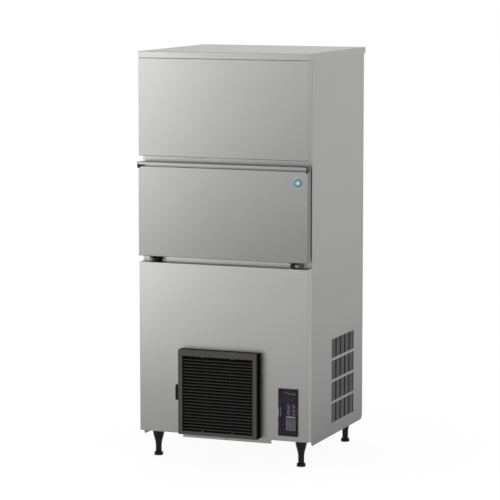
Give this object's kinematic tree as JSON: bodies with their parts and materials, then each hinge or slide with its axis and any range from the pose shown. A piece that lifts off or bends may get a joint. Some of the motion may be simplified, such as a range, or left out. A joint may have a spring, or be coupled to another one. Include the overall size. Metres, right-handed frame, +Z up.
{
  "type": "ice cube machine",
  "caption": "Free-standing stainless ice cube maker on short legs, with a bin door that tilts down, a louvred air intake low on its front, a control window and side air vents",
  "frame": {"origin": "On the floor, under the middle of the machine's overall length and width", "axes": "+Z up, the front with the door looks along -Y, +X to the right seen from the front"},
  "size_m": [0.704, 0.703, 1.6],
  "materials": {
    "brushed_stainless": "horizontally brushed",
    "inner_steel": "zinc coated",
    "white_foam": "closed-cell foam",
    "white_plastic": "moulded",
    "black_plastic": "fine texture",
    "green_plastic": "smooth",
    "smoked_cover": "smoked",
    "grey_drain": "moulded",
    "seal_rubber": "soft",
    "fin_aluminium": "pressed fins",
    "black_paint": "gloss",
    "copper": "drawn",
    "tinned_copper": "tin plated"
  },
  "bodies": {
    "cabinet": {"actuator_motor": "black_plastic", "base_pan": "inner_steel", "bin_drain": "grey_drain", "bin_liner": "white_plastic", "bin_sensor": "copper", "cabinet_front_frame": "inner_steel", "cable_gland": "black_plastic", "compressor": "black_paint", "condenser": "fin_aluminium", "control_box": "inner_steel", "control_fascia": "white_plastic", "control_frame": "black_plastic", "evaporator_coil": "copper", "evaporator_tray": "tinned_copper", "fan_motor": "black_paint", "fan_shroud": "inner_steel", "filter_drier": "copper", "front_base_strip": "brushed_stainless", "front_louvre": "black_plastic", "hinge_bracket_left": "black_plastic", "hinge_bracket_right": "black_plastic", "ice_unit_frame": "inner_steel", "insulation_shell": "white_foam", "left_side_panel": "brushed_stainless", "leg_front_left": "black_plastic", "leg_front_right": "black_plastic", "leg_rear_left": "black_plastic", "leg_rear_right": "black_plastic", "lower_front_panel": "brushed_stainless", "panel_screws": "brushed_stainless", "rear_panel": "brushed_stainless", "refrigerant_pipes": "copper", "right_side_panel": "brushed_stainless", "side_vent_grille": "black_plastic", "top_panel": "brushed_stainless", "upper_front_panel": "brushed_stainless", "water_valve": "black_plastic"},
    "door": {"door_skin": "brushed_stainless", "door_foam": "white_foam", "door_inner_liner": "white_plastic", "door_gasket": "seal_rubber", "door_handle": "brushed_stainless", "handle_cap_left": "black_plastic", "handle_cap_right": "black_plastic", "hinge_leaf_left": "brushed_stainless", "hinge_leaf_right": "brushed_stainless"},
    "air_filter": {"air_filter": "black_plastic"},
    "control_cover": {"control_cover": "smoked_cover"},
    "power_switch": {"power_switch": "black_plastic"},
    "service_button": {"service_button": "green_plastic"},
    "fan": {"fan_blade": "black_plastic"},
    "water_plate": {"water_plate": "white_plastic", "water_tank": "white_plastic", "pump_motor": "black_plastic", "plate_springs": "inner_steel"},
    "cam_shaft": {"cam_shaft": "inner_steel"},
    "foot_front_left": {"foot_front_left": "black_plastic"},
    "foot_front_right": {"foot_front_right": "black_plastic"},
    "foot_rear_left": {"foot_rear_left": "black_plastic"},
    "foot_rear_right": {"foot_rear_right": "black_plastic"}
  },
  "joints": [
    {"name": "door_hinge", "type": "hinge", "parent": "cabinet", "child": "door", "pos_m": [0, -0.3045, 0.7895], "axis": [1, 0, 0], "range_deg": [0, 90]},
    {"name": "air_filter_slide", "type": "slide", "parent": "cabinet", "child": "air_filter", "axis": [-1, 0, 0], "range_m": [0, 0.3]},
    {"name": "control_cover_hinge", "type": "hinge", "parent": "cabinet", "child": "control_cover", "pos_m": [0.3057, -0.3173, 0.22], "axis": [0, 0, 1], "range_deg": [0, 105]},
    {"name": "power_switch_rock", "type": "hinge", "parent": "cabinet", "child": "power_switch", "pos_m": [0.276, -0.2985, 0.17], "axis": [1, 0, 0], "range_deg": [-8, 8]},
    {"name": "service_button_press", "type": "slide", "parent": "cabinet", "child": "service_button", "axis": [0, 1, 0], "range_m": [0, 0.002], "stiffness_N_per_m": 400, "springref_m": -0.002},
    {"name": "fan_spin", "type": "hinge", "parent": "cabinet", "child": "fan", "pos_m": [-0.0085, -0.1983, 0.27425], "axis": [0, 1, 0], "continuous": true},
    {"name": "water_plate_tilt", "type": "hinge", "parent": "cabinet", "child": "water_plate", "pos_m": [0, 0.1442, 1.4315], "axis": [1, 0, 0], "range_deg": [0, 24], "deforming": ["plate_springs"]},
    {"name": "cam_turn", "type": "hinge", "parent": "cabinet", "child": "cam_shaft", "pos_m": [0, -0.1815, 1.4975], "axis": [1, 0, 0], "range_deg": [0, 156]},
    {"name": "foot_screw_front_left", "type": "slide", "parent": "cabinet", "child": "foot_front_left", "axis": [0, 0, -1], "range_m": [0, 0.035]},
    {"name": "foot_screw_front_right", "type": "slide", "parent": "cabinet", "child": "foot_front_right", "axis": [0, 0, -1], "range_m": [0, 0.035]},
    {"name": "foot_screw_rear_left", "type": "slide", "parent": "cabinet", "child": "foot_rear_left", "axis": [0, 0, -1], "range_m": [0, 0.035]},
    {"name": "foot_screw_rear_right", "type": "slide", "parent": "cabinet", "child": "foot_rear_right", "axis": [0, 0, -1], "range_m": [0, 0.035]}
  ],
  "couplings": [
    {"joint": "cam_turn", "follows": "water_plate_tilt", "ratio": 6.5}
  ]
}
